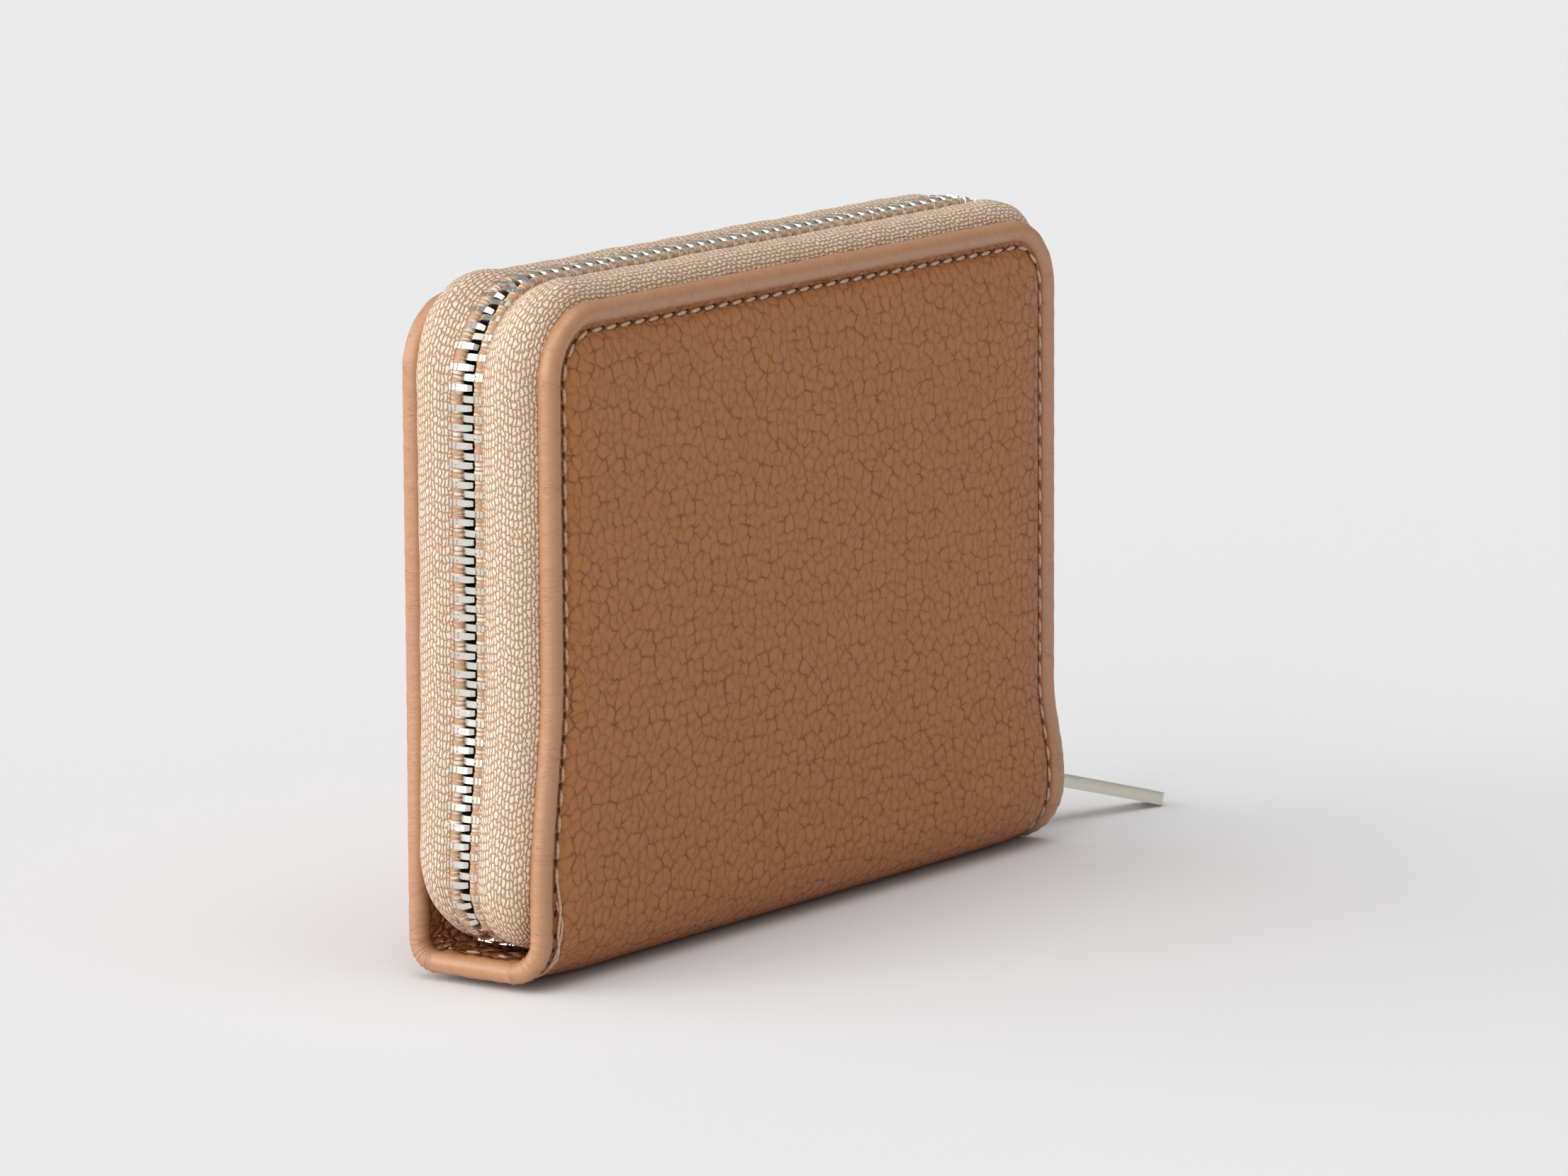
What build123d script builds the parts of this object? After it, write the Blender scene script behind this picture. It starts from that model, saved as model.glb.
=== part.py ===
from build123d import *
from math import asin, atan2, cos, degrees, hypot, pi, radians, sin, tan
import os

# A small zip-around wallet that stands on its spine, in millimetres.
# The origin is the middle of the spine's underside. X runs along the spine, the front
# cover faces -Y and Z points up. On every pair of pieces, side -1 is front and +1 is rear.

# Overall sizes
WIDTH = 118.0
HEIGHT = 90.0
DEPTH = 25.0
SPINE_RADIUS = 9.0
CORNER_RADIUS = 10.0

# Leather, stiffener and lining
BINDING_DIAMETER = 3.0
LEATHER = 1.0
BOARD = 0.8
LINING = 0.5
BOARD_MARGIN = 1.5
FOLD_RISE = 1.0

# Seam
STITCH_PITCH = 3.1
STITCH_LENGTH = 1.8
STITCH_WIDTH = 0.5
STITCH_STAND = 0.15
STITCH_INSET = 4.2

# Main zip: across is the distance from the middle of the wallet, out is from the cover's rim
TOOTH_PITCH = 2.5
TOOTH_WIDTH = 1.1
LEG_ACROSS = 2.95
LEG_THICKNESS = 2.3
HEAD_THICKNESS = 1.7
HEAD_START = 1.0
HEAD_OVERLAP = 0.85
CHAIN_OUT = 0.9
BEAD_ACROSS = 2.0
BEAD_DIAMETER = 1.6
TAPE_THICKNESS = 0.6
TAPE_EDGE = 2.6
TAPE_FLAT = 1.05
TAPE_HEM = 3.6
TAPE_SEAM_GAP = 0.011
TAIL_CLEARANCE = 0.3
TOOTH_CLEARANCE = 0.02

# Where the zip runs at its two ends
TAIL_HEIGHT = 4.5
TAIL_RADIUS = 8.0
TAIL_LENGTH = 19.0
TAIL_TOP = 20.0

# Main slider
SLIDER_BOTTOM = 4.2
SLIDER_LENGTH = 10.6
SLIDER_SHOULDER = 4.0
SLIDER_TAPER = 2.3
SLIDER_FLANGE = 0.9
SLIDER_PLATE = 0.9
SLIDER_GAP = 0.25
CHANNEL_GAP = 0.35
MOUTH_SPREAD = 1.75
POST_HALF_WIDTH = 0.8
POST_LENGTH = 3.0
BRIDGE_WIDTH = 1.2
BRIDGE_HALF_LENGTH = 2.5
BRIDGE_WALL = 0.6
BRIDGE_OPENING = 2.2
BRIDGE_CAP = 0.7
BRIDGE_SHIFT = 2.85
PIVOT_GAP = 0.25
STOP_GAP = 0.1
STOP_WIDTH = 2.2

# Main pull
PULL_LENGTH = 30.9
PULL_WIDTH = 4.6
PULL_THICKNESS = 1.8
PULL_CORNER = 1.0
PULL_YAW = 15.3
PULL_FLOOR_GAP = 0.1
EYE_WIDTH = 5.0
EYE_LENGTH = 4.4
EYE_HOLE_END = 3.2
EYE_HOLE_WIDTH = 3.2
EYE_THICKNESS = 1.2

# Card pockets, three on the inside of each cover, the tallest next to the cover
POCKET_WIDTH = 91.0
POCKET_SHEET = 0.4
POCKET_SEAM = 0.2
POCKET_SEAM_WIDTH = 2.5
POCKET_BOTTOM = 13.0
POCKET_TOPS = (76.0, 67.0, 58.0)

# Zipped coin pocket on a web in the middle
COIN_WIDTH = 102.0
COIN_GAP = 4.6
COIN_WALL = 0.7
COIN_BOTTOM = 9.5
COIN_TOP = 70.0
COIN_FLOOR = 0.7
COIN_END = 0.6
WEB_THICKNESS = 0.8
WEB_WIDTH = 68.0

# Coin zip
COIN_TOOTH_PITCH = 2.0
COIN_TOOTH_WIDTH = 0.85
COIN_TOOTH_THICKNESS = 1.5
COIN_HEAD_THICKNESS = 1.1
COIN_LEG_ACROSS = 1.95
COIN_HEAD_START = 0.6
COIN_HEAD_OVERLAP = 0.5
COIN_BEAD_DIAMETER = 1.0
COIN_BEAD_ACROSS = 1.2
COIN_TAPE = 0.5
COIN_SLIDER_X = 38.0
COIN_SLIDER_LENGTH = 8.0
COIN_SLIDER_WIDTH = 5.2
COIN_MOUTH_WIDTH = 7.4
COIN_SPREAD = 0.95
COIN_PLATE = 0.7
COIN_POST_HALF_WIDTH = 0.4
COIN_POST_LENGTH = 2.0
COIN_FLANGE = 0.6
COIN_PULL_LENGTH = 12.0
COIN_PULL_WIDTH = 3.6
COIN_BRIDGE_OPENING = 1.3
COIN_BRIDGE_LENGTH = 4.0
COIN_EYE_THICKNESS = 1.0
COIN_EYE_GAP = 0.4
COIN_STOP_LENGTH = 0.8
COIN_STOP_WIDTH = 0.7

# Side gussets between each cover and the coin pocket
GUSSET_X = 50.5
GUSSET_DEPTH = 3.6
GUSSET_SHEET = 0.6
GUSSET_BOTTOM = 13.0
GUSSET_TOP = 66.0

# Sizes that follow
half_width = WIDTH / 2
half_depth = DEPTH / 2
binding_radius = BINDING_DIAMETER / 2
rim_x = half_width - binding_radius
rim_y = half_depth - binding_radius
rim_top = HEIGHT - binding_radius
fold_z = SPINE_RADIUS + FOLD_RISE
panel_half_width = half_width - BINDING_DIAMETER
panel_top = HEIGHT - BINDING_DIAMETER
board_face = half_depth - LEATHER
lining_face = board_face - BOARD
inside_face = lining_face - LINING
pocket_step = POCKET_SHEET + POCKET_SEAM
coin_face = COIN_GAP / 2 + COIN_WALL
slider_top = SLIDER_BOTTOM + SLIDER_LENGTH
slider_neck = SLIDER_BOTTOM + SLIDER_SHOULDER + SLIDER_TAPER
chain_start = slider_neck + TOOTH_WIDTH / 2
right_stretch_top = HEIGHT - CORNER_RADIUS - FOLD_RISE
tape_hem_across = inside_face - TAPE_THICKNESS / 2
tape_hem_reach = hypot(rim_y - tape_hem_across, TAPE_HEM)
tape_hem_lean = asin((binding_radius + TAPE_THICKNESS / 2 + TAPE_SEAM_GAP) / tape_hem_reach) - atan2(
    rim_y - tape_hem_across, TAPE_HEM
)
tape_rim_across = tape_hem_across - TAPE_HEM * tan(tape_hem_lean)
mouth_top = SLIDER_BOTTOM + SLIDER_SHOULDER
mouth_bottom = BINDING_DIAMETER + TAIL_CLEARANCE
mouth_half_width = LEG_ACROSS + MOUTH_SPREAD + CHANNEL_GAP / 2 + SLIDER_FLANGE
neck_half_width = LEG_ACROSS + CHANNEL_GAP + SLIDER_FLANGE
tape_shoulder = neck_half_width + TAPE_FLAT
channel_outer = CHAIN_OUT + LEG_THICKNESS / 2 + SLIDER_GAP
channel_inner = CHAIN_OUT - LEG_THICKNESS / 2 - SLIDER_GAP
flange_outer = CHAIN_OUT + TAPE_THICKNESS / 2 + CHANNEL_GAP
flange_inner = CHAIN_OUT - TAPE_THICKNESS / 2 - 3 * CHANNEL_GAP / 2
plate_face = channel_outer + SLIDER_PLATE
post_middle = mouth_top - POST_LENGTH / 2 - SLIDER_GAP
pull_pivot_out = plate_face + BRIDGE_OPENING - EYE_THICKNESS / 2 - PIVOT_GAP
pull_pivot_z = post_middle + BRIDGE_SHIFT
tail_run = TAIL_LENGTH - TAIL_RADIUS
tail_length = tail_run + pi / 2 * TAIL_RADIUS + TAIL_TOP - TAIL_HEIGHT - TAIL_RADIUS
coin_chain_z = COIN_TOP + COIN_TAPE / 2
coin_channel_top = coin_chain_z + COIN_TOOTH_THICKNESS / 2 + SLIDER_GAP
coin_channel_bottom = coin_chain_z - COIN_TOOTH_THICKNESS / 2 - SLIDER_GAP
coin_plate_face = coin_channel_top + COIN_PLATE
coin_chain_end = COIN_SLIDER_X + COIN_SLIDER_LENGTH / 4 - COIN_POST_LENGTH / 2 - SLIDER_GAP
coin_pivot_z = coin_plate_face + COIN_BRIDGE_OPENING / 2


def save(piece, name):
    piece.part.label = name
    export_step(piece.part, f"parts/{name}.step")


def cover_plane(side, across):
    """A plane along a cover, across mm from the middle, whose normal points outwards."""
    return Plane(origin=(0, side * across, 0), x_dir=(-side, 0, 0), z_dir=(0, side, 0))


# Covers: each is leather over board and lining, and its edge is bound in rolled leather


def cover_sheet(side, across, thickness, half, bottom, top, corner):
    with BuildPart() as sheet:
        with BuildSketch(cover_plane(side, across)) as outline:
            with Locations((0, (bottom + top) / 2)):
                Rectangle(2 * half, top - bottom)
            fillet(outline.vertices().group_by(Axis.Y)[-1], corner)
        extrude(amount=-thickness)
    return sheet


def cover_binding(side):
    with BuildPart() as binding:
        with BuildLine() as route:
            FilletPolyline(
                (-rim_x, side * rim_y, fold_z),
                (-rim_x, side * rim_y, rim_top),
                (rim_x, side * rim_y, rim_top),
                (rim_x, side * rim_y, fold_z),
                radius=CORNER_RADIUS - binding_radius,
            )
        with BuildSketch(Plane(origin=route.line @ 0, z_dir=route.line % 0)):
            Circle(binding_radius)
        sweep()
    return binding


def seam_places(side):
    """Planes along the seam, with X along the stitch and the normal out of the cover."""
    inset_x = half_width - STITCH_INSET
    inset_top = HEIGHT - STITCH_INSET
    face_y = side * half_depth
    with BuildLine() as route:
        FilletPolyline(
            (-inset_x, face_y, fold_z),
            (-inset_x, face_y, inset_top),
            (inset_x, face_y, inset_top),
            (inset_x, face_y, fold_z),
            radius=CORNER_RADIUS - STITCH_INSET,
        )
    seam = route.wire()
    count = int(seam.length / STITCH_PITCH)
    spare = (seam.length - (count - 1) * STITCH_PITCH) / 2
    places = []
    for number in range(count):
        along = spare + number * STITCH_PITCH
        middle = seam.position_at(along, PositionMode.LENGTH)
        direction = seam.tangent_at(along, PositionMode.LENGTH)
        places.append(Plane(origin=middle, x_dir=direction, z_dir=(0, side, 0)))
    return places


def cover_stitches(side):
    with BuildPart() as stitches:
        with Locations(*seam_places(side)):
            Box(
                STITCH_LENGTH,
                STITCH_WIDTH,
                STITCH_STAND,
                align=(Align.CENTER, Align.CENTER, Align.MIN),
            )
    return stitches


def card_pocket(side, number):
    """A sheet with a narrow seam on three sides, which holds it off the layer behind it."""
    back = inside_face - number * pocket_step
    top = POCKET_TOPS[number]
    middle_z = (POCKET_BOTTOM + top) / 2
    with BuildPart() as pocket:
        with BuildSketch(cover_plane(side, back)):
            with Locations((0, middle_z)):
                Rectangle(POCKET_WIDTH, top - POCKET_BOTTOM)
            with Locations((0, middle_z + POCKET_SEAM_WIDTH)):
                Rectangle(
                    POCKET_WIDTH - 2 * POCKET_SEAM_WIDTH, top - POCKET_BOTTOM, mode=Mode.SUBTRACT
                )
        extrude(amount=-POCKET_SEAM)
        with BuildSketch(cover_plane(side, back - POCKET_SEAM)):
            with Locations((0, middle_z)):
                Rectangle(POCKET_WIDTH, top - POCKET_BOTTOM)
        extrude(amount=-POCKET_SHEET)
    return pocket


# Spine: the leather, a soft filler and the lining all bend round from cover to cover


def spine_layer(outset, thickness):
    """A U-shaped layer whose outside lies outset mm inside the wallet's outer face."""
    outer = half_depth - outset
    inner = outer - thickness
    radius = SPINE_RADIUS - outset
    with BuildPart() as layer:
        with BuildSketch(Plane.YZ):
            with BuildLine():
                outside = FilletPolyline(
                    (-outer, fold_z), (-outer, outset), (outer, outset), (outer, fold_z),
                    radius=radius,
                )
                inside = FilletPolyline(
                    (-inner, fold_z),
                    (-inner, outset + thickness),
                    (inner, outset + thickness),
                    (inner, fold_z),
                    radius=radius - thickness,
                )
                Line(outside @ 0, inside @ 0)
                Line(outside @ 1, inside @ 1)
            make_face()
        extrude(amount=panel_half_width, both=True)
    return layer


def spine_binding(end):
    with BuildPart() as binding:
        with BuildLine() as route:
            FilletPolyline(
                (end * rim_x, -rim_y, fold_z),
                (end * rim_x, -rim_y, binding_radius),
                (end * rim_x, rim_y, binding_radius),
                (end * rim_x, rim_y, fold_z),
                radius=SPINE_RADIUS - binding_radius,
            )
        with BuildSketch(Plane(origin=route.line @ 0, z_dir=route.line % 0)):
            Circle(binding_radius)
        sweep()
    return binding


# Main zip: two tapes with a beaded edge, and metal teeth clamped on the beads


def zip_route():
    """The line of the rim, from the tail inside the spine round to the slider's mouth."""
    with BuildLine() as route:
        FilletPolyline(
            (TAIL_LENGTH - half_width, 0, TAIL_HEIGHT),
            (-half_width, 0, TAIL_HEIGHT),
            (-half_width, 0, HEIGHT),
            (half_width, 0, HEIGHT),
            (half_width, 0, SLIDER_BOTTOM),
            radius=[TAIL_RADIUS, CORNER_RADIUS, CORNER_RADIUS],
        )
    return route.wire()


def zip_plane(origin, direction):
    """Across the zip: X along +Y, Y out of the wallet, and the normal along the zip."""
    return Plane(origin=origin, x_dir=(0, 1, 0), z_dir=direction)


def tape_line(rim_across, hem):
    """The tape's section, from its hem by the lining past the binding to its beaded edge."""
    line = [
        (rim_across, -binding_radius),
        (tape_shoulder + rim_across - tape_rim_across + TAIL_CLEARANCE, CHAIN_OUT),
        (TAPE_EDGE, CHAIN_OUT),
    ]
    if hem:
        line.insert(0, (tape_hem_across, -binding_radius - TAPE_HEM))
    return line


def swept_tape(side, points, radius, section):
    with BuildPart() as tape:
        with BuildLine() as route:
            if radius:
                FilletPolyline(*points, radius=radius)
            else:
                Line(*points)
        with BuildSketch(zip_plane(route.line @ 0, route.line % 0)):
            with BuildLine():
                Polyline(*[(side * across, out) for across, out in section])
            trace(line_width=TAPE_THICKNESS)
            with Locations((side * BEAD_ACROSS, CHAIN_OUT)):
                Circle(BEAD_DIAMETER / 2)
        sweep()
    return tape


def mouth_tape(side):
    """The loose end of a tape, which runs into the slider's mouth beside the post."""
    rim_across = tape_rim_across - TAIL_CLEARANCE
    shoulder = (side * tape_shoulder, CHAIN_OUT)
    with BuildPart() as tape:
        with BuildSketch(zip_plane((half_width, 0, chain_start), (0, 0, -1))):
            with BuildLine():
                Line((side * rim_across, -binding_radius), shoulder)
            trace(line_width=TAPE_THICKNESS)
        extrude(amount=chain_start)
        with BuildSketch(zip_plane((half_width, 0, mouth_top), (0, 0, -1))):
            with BuildLine():
                Line(shoulder, (side * (TAPE_EDGE + MOUTH_SPREAD), CHAIN_OUT))
            trace(line_width=TAPE_THICKNESS)
            with Locations((side * (BEAD_ACROSS + MOUTH_SPREAD), CHAIN_OUT)):
                Circle(BEAD_DIAMETER / 2)
        extrude(amount=mouth_top)
        # Both stop inside the bend of the spine's binding
        inside = rim_across + TAPE_THICKNESS
        with BuildSketch(Plane.YZ.offset(half_width)) as bend:
            with Locations((0, mouth_bottom + HEIGHT / 2)):
                Rectangle(2 * inside, HEIGHT)
            fillet(bend.vertices().group_by(Axis.Y)[0], SPINE_RADIUS - BINDING_DIAMETER)
        extrude(amount=BINDING_DIAMETER, both=True, mode=Mode.INTERSECT)
    return tape


def tooth(side, spread=0.0):
    """One tooth: two legs that clamp the bead, and a thinner head past the middle."""
    bead_hole = BEAD_DIAMETER / 2 + TOOTH_CLEARANCE
    slot = TAPE_THICKNESS + 2 * TOOTH_CLEARANCE
    leg_length = LEG_ACROSS - HEAD_START
    head_length = HEAD_START + HEAD_OVERLAP
    with BuildPart() as piece:
        with BuildSketch() as section:
            with Locations((side * (HEAD_START + leg_length / 2), CHAIN_OUT)):
                Rectangle(leg_length, LEG_THICKNESS)
            with Locations((side * (HEAD_START - head_length / 2), CHAIN_OUT)):
                Rectangle(head_length, HEAD_THICKNESS)
            chamfer(section.vertices().group_by(Axis.X)[0 if side > 0 else -1], HEAD_THICKNESS / 5)
            with Locations((side * BEAD_ACROSS, CHAIN_OUT)):
                Circle(bead_hole, mode=Mode.SUBTRACT)
            with Locations((side * (BEAD_ACROSS + leg_length), CHAIN_OUT)):
                Rectangle(2 * leg_length, slot, mode=Mode.SUBTRACT)
        extrude(amount=TOOTH_WIDTH / 2, both=True)
    return piece.part.moved(Location((side * spread, 0, 0)))


def teeth(side, first, last):
    """The teeth of one tape whose places along the route lie between first and last."""
    route = zip_route()
    stagger = TOOTH_PITCH / 2 if side > 0 else 0.0
    count = int((route.length - stagger) / TOOTH_PITCH)
    places = []
    for number in range(1, count + 1):
        along = number * TOOTH_PITCH + stagger
        if first <= along < last:
            middle = route.position_at(along, PositionMode.LENGTH)
            direction = route.tangent_at(along, PositionMode.LENGTH)
            places.append(zip_plane(middle, direction))
    with BuildPart() as row:
        with Locations(*places):
            add(tooth(side))
    return row


def mouth_teeth():
    """The first pair of teeth, held apart by the slider's post."""
    place = zip_plane((half_width, 0, mouth_top - TOOTH_WIDTH), (0, 0, -1))
    with BuildPart() as pair:
        with Locations(place):
            add(tooth(-1, MOUTH_SPREAD))
            add(tooth(1, MOUTH_SPREAD))
    return pair


def top_stops():
    """A clamp on each bead below the slider's mouth, where the slider stops."""
    with BuildPart() as stops:
        with BuildSketch(zip_plane((half_width, 0, SLIDER_BOTTOM - STOP_GAP), (0, 0, -1))):
            for side in (-1, 1):
                with Locations((side * (BEAD_ACROSS + MOUTH_SPREAD), CHAIN_OUT)):
                    Rectangle(STOP_WIDTH, LEG_THICKNESS)
                    Circle(BEAD_DIAMETER / 2 + TOOTH_CLEARANCE, mode=Mode.SUBTRACT)
                with Locations((side * (BEAD_ACROSS + MOUTH_SPREAD + STOP_WIDTH / 2), CHAIN_OUT)):
                    Rectangle(STOP_WIDTH, TAPE_THICKNESS + 3 * TOOTH_CLEARANCE, mode=Mode.SUBTRACT)
        extrude(amount=SLIDER_BOTTOM - 2 * STOP_GAP - mouth_bottom)
    return stops


def bottom_stop():
    """One clamp over both beads at the zip's closed end."""
    route = zip_route()
    place = zip_plane(route @ 0, route % 0)
    with BuildPart() as stop:
        with BuildSketch(place.offset(STOP_GAP)):
            with Locations((0, CHAIN_OUT)):
                Rectangle(2 * LEG_ACROSS, LEG_THICKNESS)
            for side in (-1, 1):
                with Locations((side * BEAD_ACROSS, CHAIN_OUT)):
                    Circle(BEAD_DIAMETER / 2 + TOOTH_CLEARANCE, mode=Mode.SUBTRACT)
                with Locations((side * (BEAD_ACROSS + LEG_ACROSS / 2), CHAIN_OUT)):
                    Rectangle(LEG_ACROSS, TAPE_THICKNESS + 3 * TOOTH_CLEARANCE, mode=Mode.SUBTRACT)
        extrude(amount=TOOTH_PITCH - TOOTH_WIDTH)
    return stop


# Main slider: two plates joined by a post, whose flanges close round the chain


def slider_outline(inset, overrun=0.0):
    """The slider seen from outside, with its wide mouth at the bottom."""
    wide = mouth_half_width - inset
    narrow = neck_half_width - inset
    taper_end = mouth_top + SLIDER_TAPER
    return [
        (-wide, SLIDER_BOTTOM - overrun),
        (wide, SLIDER_BOTTOM - overrun),
        (wide, mouth_top),
        (narrow, taper_end),
        (narrow, slider_top + overrun),
        (-narrow, slider_top + overrun),
        (-narrow, taper_end),
        (-wide, mouth_top),
    ]


def slider_body():
    with BuildPart() as body:
        for face, flange, amount in (
            (channel_outer, flange_outer, SLIDER_PLATE),
            (channel_inner, flange_inner, -SLIDER_PLATE),
        ):
            with BuildSketch(Plane.YZ.offset(half_width + face)):
                Polygon(*slider_outline(0), align=None)
            extrude(amount=amount)
            with BuildSketch(Plane.YZ.offset(half_width + face)):
                Polygon(*slider_outline(0), align=None)
                Polygon(*slider_outline(SLIDER_FLANGE, 1.0), align=None, mode=Mode.SUBTRACT)
            extrude(amount=flange - face)
        with BuildSketch(Plane.YZ.offset(half_width + channel_inner)):
            with Locations((0, post_middle)):
                Polygon(
                    (0, -POST_LENGTH / 2),
                    (POST_HALF_WIDTH, -POST_LENGTH / 6),
                    (POST_HALF_WIDTH, POST_LENGTH / 6),
                    (0, POST_LENGTH / 2),
                    (-POST_HALF_WIDTH, POST_LENGTH / 6),
                    (-POST_HALF_WIDTH, -POST_LENGTH / 6),
                    align=None,
                )
        extrude(amount=channel_outer - channel_inner)
    return body


def slider_bridge():
    """The arch on the slider that the pull's eye hangs on."""
    rise = BRIDGE_OPENING + BRIDGE_CAP
    with BuildPart() as bridge:
        with BuildSketch(Plane.XZ):
            with Locations((half_width + plate_face + rise / 2, post_middle + BRIDGE_SHIFT)):
                Rectangle(rise, 2 * BRIDGE_HALF_LENGTH)
        extrude(amount=BRIDGE_WIDTH / 2, both=True)
        fillet(bridge.edges().filter_by(Axis.Y).group_by(Axis.X)[-1], BRIDGE_CAP)
        with BuildSketch(Plane.XZ):
            with Locations(
                (half_width + plate_face + BRIDGE_OPENING / 2, post_middle + BRIDGE_SHIFT)
            ):
                Rectangle(BRIDGE_OPENING, 2 * (BRIDGE_HALF_LENGTH - BRIDGE_WALL))
        extrude(amount=BRIDGE_WIDTH, both=True, mode=Mode.SUBTRACT)
    return bridge


def pull():
    """A flat bar whose eye goes round the bridge; its tip lies just above the ground."""
    drop = degrees(asin((pull_pivot_z - PULL_THICKNESS / 2 - PULL_FLOOR_GAP) / PULL_LENGTH))
    along = Vector(
        cos(radians(drop)) * cos(radians(PULL_YAW)),
        -cos(radians(drop)) * sin(radians(PULL_YAW)),
        -sin(radians(drop)),
    )
    width = Vector(sin(radians(PULL_YAW)), cos(radians(PULL_YAW)), 0)
    place = Plane(
        origin=(half_width + pull_pivot_out, 0, pull_pivot_z), x_dir=along, z_dir=along.cross(width)
    )
    bar_start = EYE_HOLE_END + PULL_CORNER / 2
    bar_length = PULL_LENGTH - bar_start
    with BuildPart() as bar:
        with BuildSketch(place):
            with Locations((EYE_LENGTH / 2, 0)):
                Rectangle(EYE_LENGTH, EYE_WIDTH)
            with Locations(((EYE_THICKNESS / 2 + EYE_HOLE_END) / 2, 0)):
                Rectangle(EYE_HOLE_END - EYE_THICKNESS / 2, EYE_HOLE_WIDTH, mode=Mode.SUBTRACT)
        extrude(amount=EYE_THICKNESS / 2, both=True)
        with BuildSketch(place):
            with Locations((bar_start + bar_length / 2, 0)):
                RectangleRounded(bar_length, PULL_WIDTH, PULL_CORNER)
        extrude(amount=PULL_THICKNESS / 2, both=True)
        with BuildSketch(Plane(origin=place.origin, x_dir=place.x_dir, z_dir=place.y_dir)):
            Circle(EYE_THICKNESS / 2)
        extrude(amount=EYE_WIDTH / 2, both=True)
    return bar


# Coin pocket: two walls, a floor and two ends, on a web that is sewn to the spine


def coin_wall(side):
    with BuildPart() as wall:
        with BuildSketch(cover_plane(side, coin_face)):
            with Locations((0, (COIN_BOTTOM + COIN_TOP) / 2)):
                Rectangle(COIN_WIDTH, COIN_TOP - COIN_BOTTOM)
        extrude(amount=-COIN_WALL)
    return wall


def coin_end(end):
    height = COIN_TOP - COIN_BOTTOM - COIN_FLOOR - COIN_BEAD_DIAMETER / 2
    with BuildPart() as piece:
        with Locations((end * COIN_WIDTH / 2, 0, COIN_BOTTOM + COIN_FLOOR)):
            Box(
                COIN_END,
                COIN_GAP,
                height,
                align=(Align.MAX if end > 0 else Align.MIN, Align.CENTER, Align.MIN),
            )
    return piece


def coin_floor():
    with BuildPart() as floor:
        with Locations((0, 0, COIN_BOTTOM)):
            Box(COIN_WIDTH, COIN_GAP, COIN_FLOOR, align=(Align.CENTER, Align.CENTER, Align.MIN))
    return floor


def coin_web():
    """A strip between the spine's lining and the coin pocket's floor."""
    foot = LEATHER + BOARD + LINING
    with BuildPart() as web:
        with Locations((0, 0, foot)):
            Box(
                WEB_WIDTH,
                WEB_THICKNESS,
                COIN_BOTTOM - foot,
                align=(Align.CENTER, Align.CENTER, Align.MIN),
            )
    return web


def coin_plane(x):
    """Across the coin zip: X along +Y, Y up, and the normal along +X."""
    return Plane(origin=(x, 0, coin_chain_z), x_dir=(0, 1, 0), z_dir=(1, 0, 0))


def coin_tape(side):
    edge = COIN_BEAD_ACROSS
    with BuildPart() as tape:
        with BuildSketch(coin_plane(-COIN_WIDTH / 2)):
            with Locations((side * (coin_face + edge) / 2, 0)):
                Rectangle(coin_face - edge, COIN_TAPE)
            with Locations((side * edge, 0)):
                Circle(COIN_BEAD_DIAMETER / 2)
        extrude(amount=coin_chain_end + COIN_WIDTH / 2)
        with BuildSketch(coin_plane(coin_chain_end)):
            with Locations((side * (coin_face + edge + COIN_SPREAD) / 2, 0)):
                Rectangle(coin_face - edge - COIN_SPREAD, COIN_TAPE)
        extrude(amount=COIN_WIDTH / 2 - coin_chain_end)
    return tape


def coin_tooth(side):
    leg_length = COIN_LEG_ACROSS - COIN_HEAD_START
    head_length = COIN_HEAD_START + COIN_HEAD_OVERLAP
    with BuildPart() as piece:
        with BuildSketch() as section:
            with Locations((side * (COIN_HEAD_START + leg_length / 2), 0)):
                Rectangle(leg_length, COIN_TOOTH_THICKNESS)
            with Locations((side * (COIN_HEAD_START - head_length / 2), 0)):
                Rectangle(head_length, COIN_HEAD_THICKNESS)
            with Locations((side * COIN_BEAD_ACROSS, 0)):
                Circle(COIN_BEAD_DIAMETER / 2 + TOOTH_CLEARANCE, mode=Mode.SUBTRACT)
            with Locations((side * (COIN_BEAD_ACROSS + leg_length), 0)):
                Rectangle(2 * leg_length, COIN_TAPE + 2 * TOOTH_CLEARANCE, mode=Mode.SUBTRACT)
        extrude(amount=COIN_TOOTH_WIDTH / 2, both=True)
    return piece.part


def coin_teeth(side):
    start = -COIN_WIDTH / 2 + COIN_END + COIN_TOOTH_PITCH
    stagger = COIN_TOOTH_PITCH / 2 if side > 0 else 0.0
    count = int((coin_chain_end - COIN_TOOTH_WIDTH - start - stagger) / COIN_TOOTH_PITCH) + 1
    places = [coin_plane(start + stagger + number * COIN_TOOTH_PITCH) for number in range(count)]
    with BuildPart() as row:
        with Locations(*places):
            add(coin_tooth(side))
    return row


def coin_slider_outline(inset, overrun=0.0):
    """The coin slider from above, with its mouth at the +X end."""
    wide = COIN_MOUTH_WIDTH / 2 - inset
    narrow = COIN_SLIDER_WIDTH / 2 - inset
    neck_end = COIN_SLIDER_X - COIN_SLIDER_LENGTH / 2 - overrun
    shoulder = COIN_SLIDER_X + COIN_SLIDER_LENGTH / 4
    mouth_end = COIN_SLIDER_X + COIN_SLIDER_LENGTH / 2 + overrun
    return [
        (neck_end, -narrow),
        (COIN_SLIDER_X, -narrow),
        (shoulder, -wide),
        (mouth_end, -wide),
        (mouth_end, wide),
        (shoulder, wide),
        (COIN_SLIDER_X, narrow),
        (neck_end, narrow),
    ]


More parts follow.
